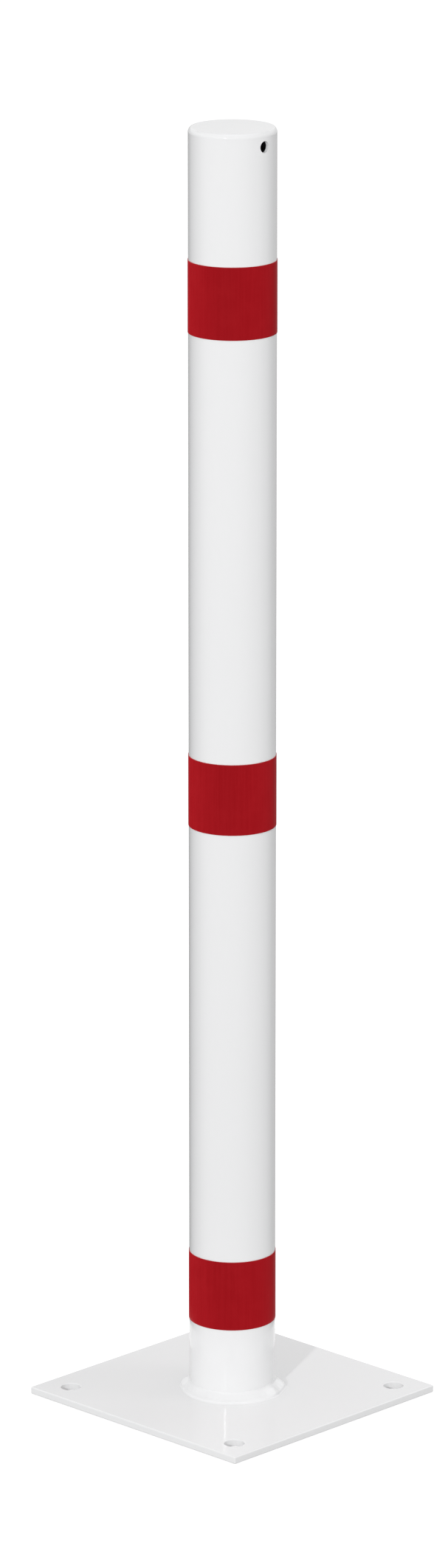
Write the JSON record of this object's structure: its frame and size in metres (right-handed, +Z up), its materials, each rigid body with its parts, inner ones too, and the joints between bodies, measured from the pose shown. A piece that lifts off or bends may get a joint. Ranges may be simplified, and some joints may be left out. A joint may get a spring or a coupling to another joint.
{
  "type": "barrier post",
  "caption": "Bolt-down round barrier post on a square base plate, with a closed head, a welded foot and red reflective bands on a white coat.",
  "frame": {"origin": "centre of the base plate's underside, at ground level", "axes": "+Z up along the post; X and Y along the sides of the plate; the vent hole in the head looks towards -Y"},
  "size_m": [0.2, 0.2, 0.9],
  "materials": {
    "white_coat": "glossy white powder coat over galvanised steel",
    "red_film": "self-adhesive red reflective film, satin gloss"
  },
  "bodies": {
    "root": {"base_plate": "white_coat", "post_tube": "white_coat", "foot_weld": "white_coat", "top_disc": "white_coat", "disc_weld": "white_coat", "upper_band": "red_film", "middle_band": "red_film", "lower_band": "red_film"}
  },
  "joints": []
}
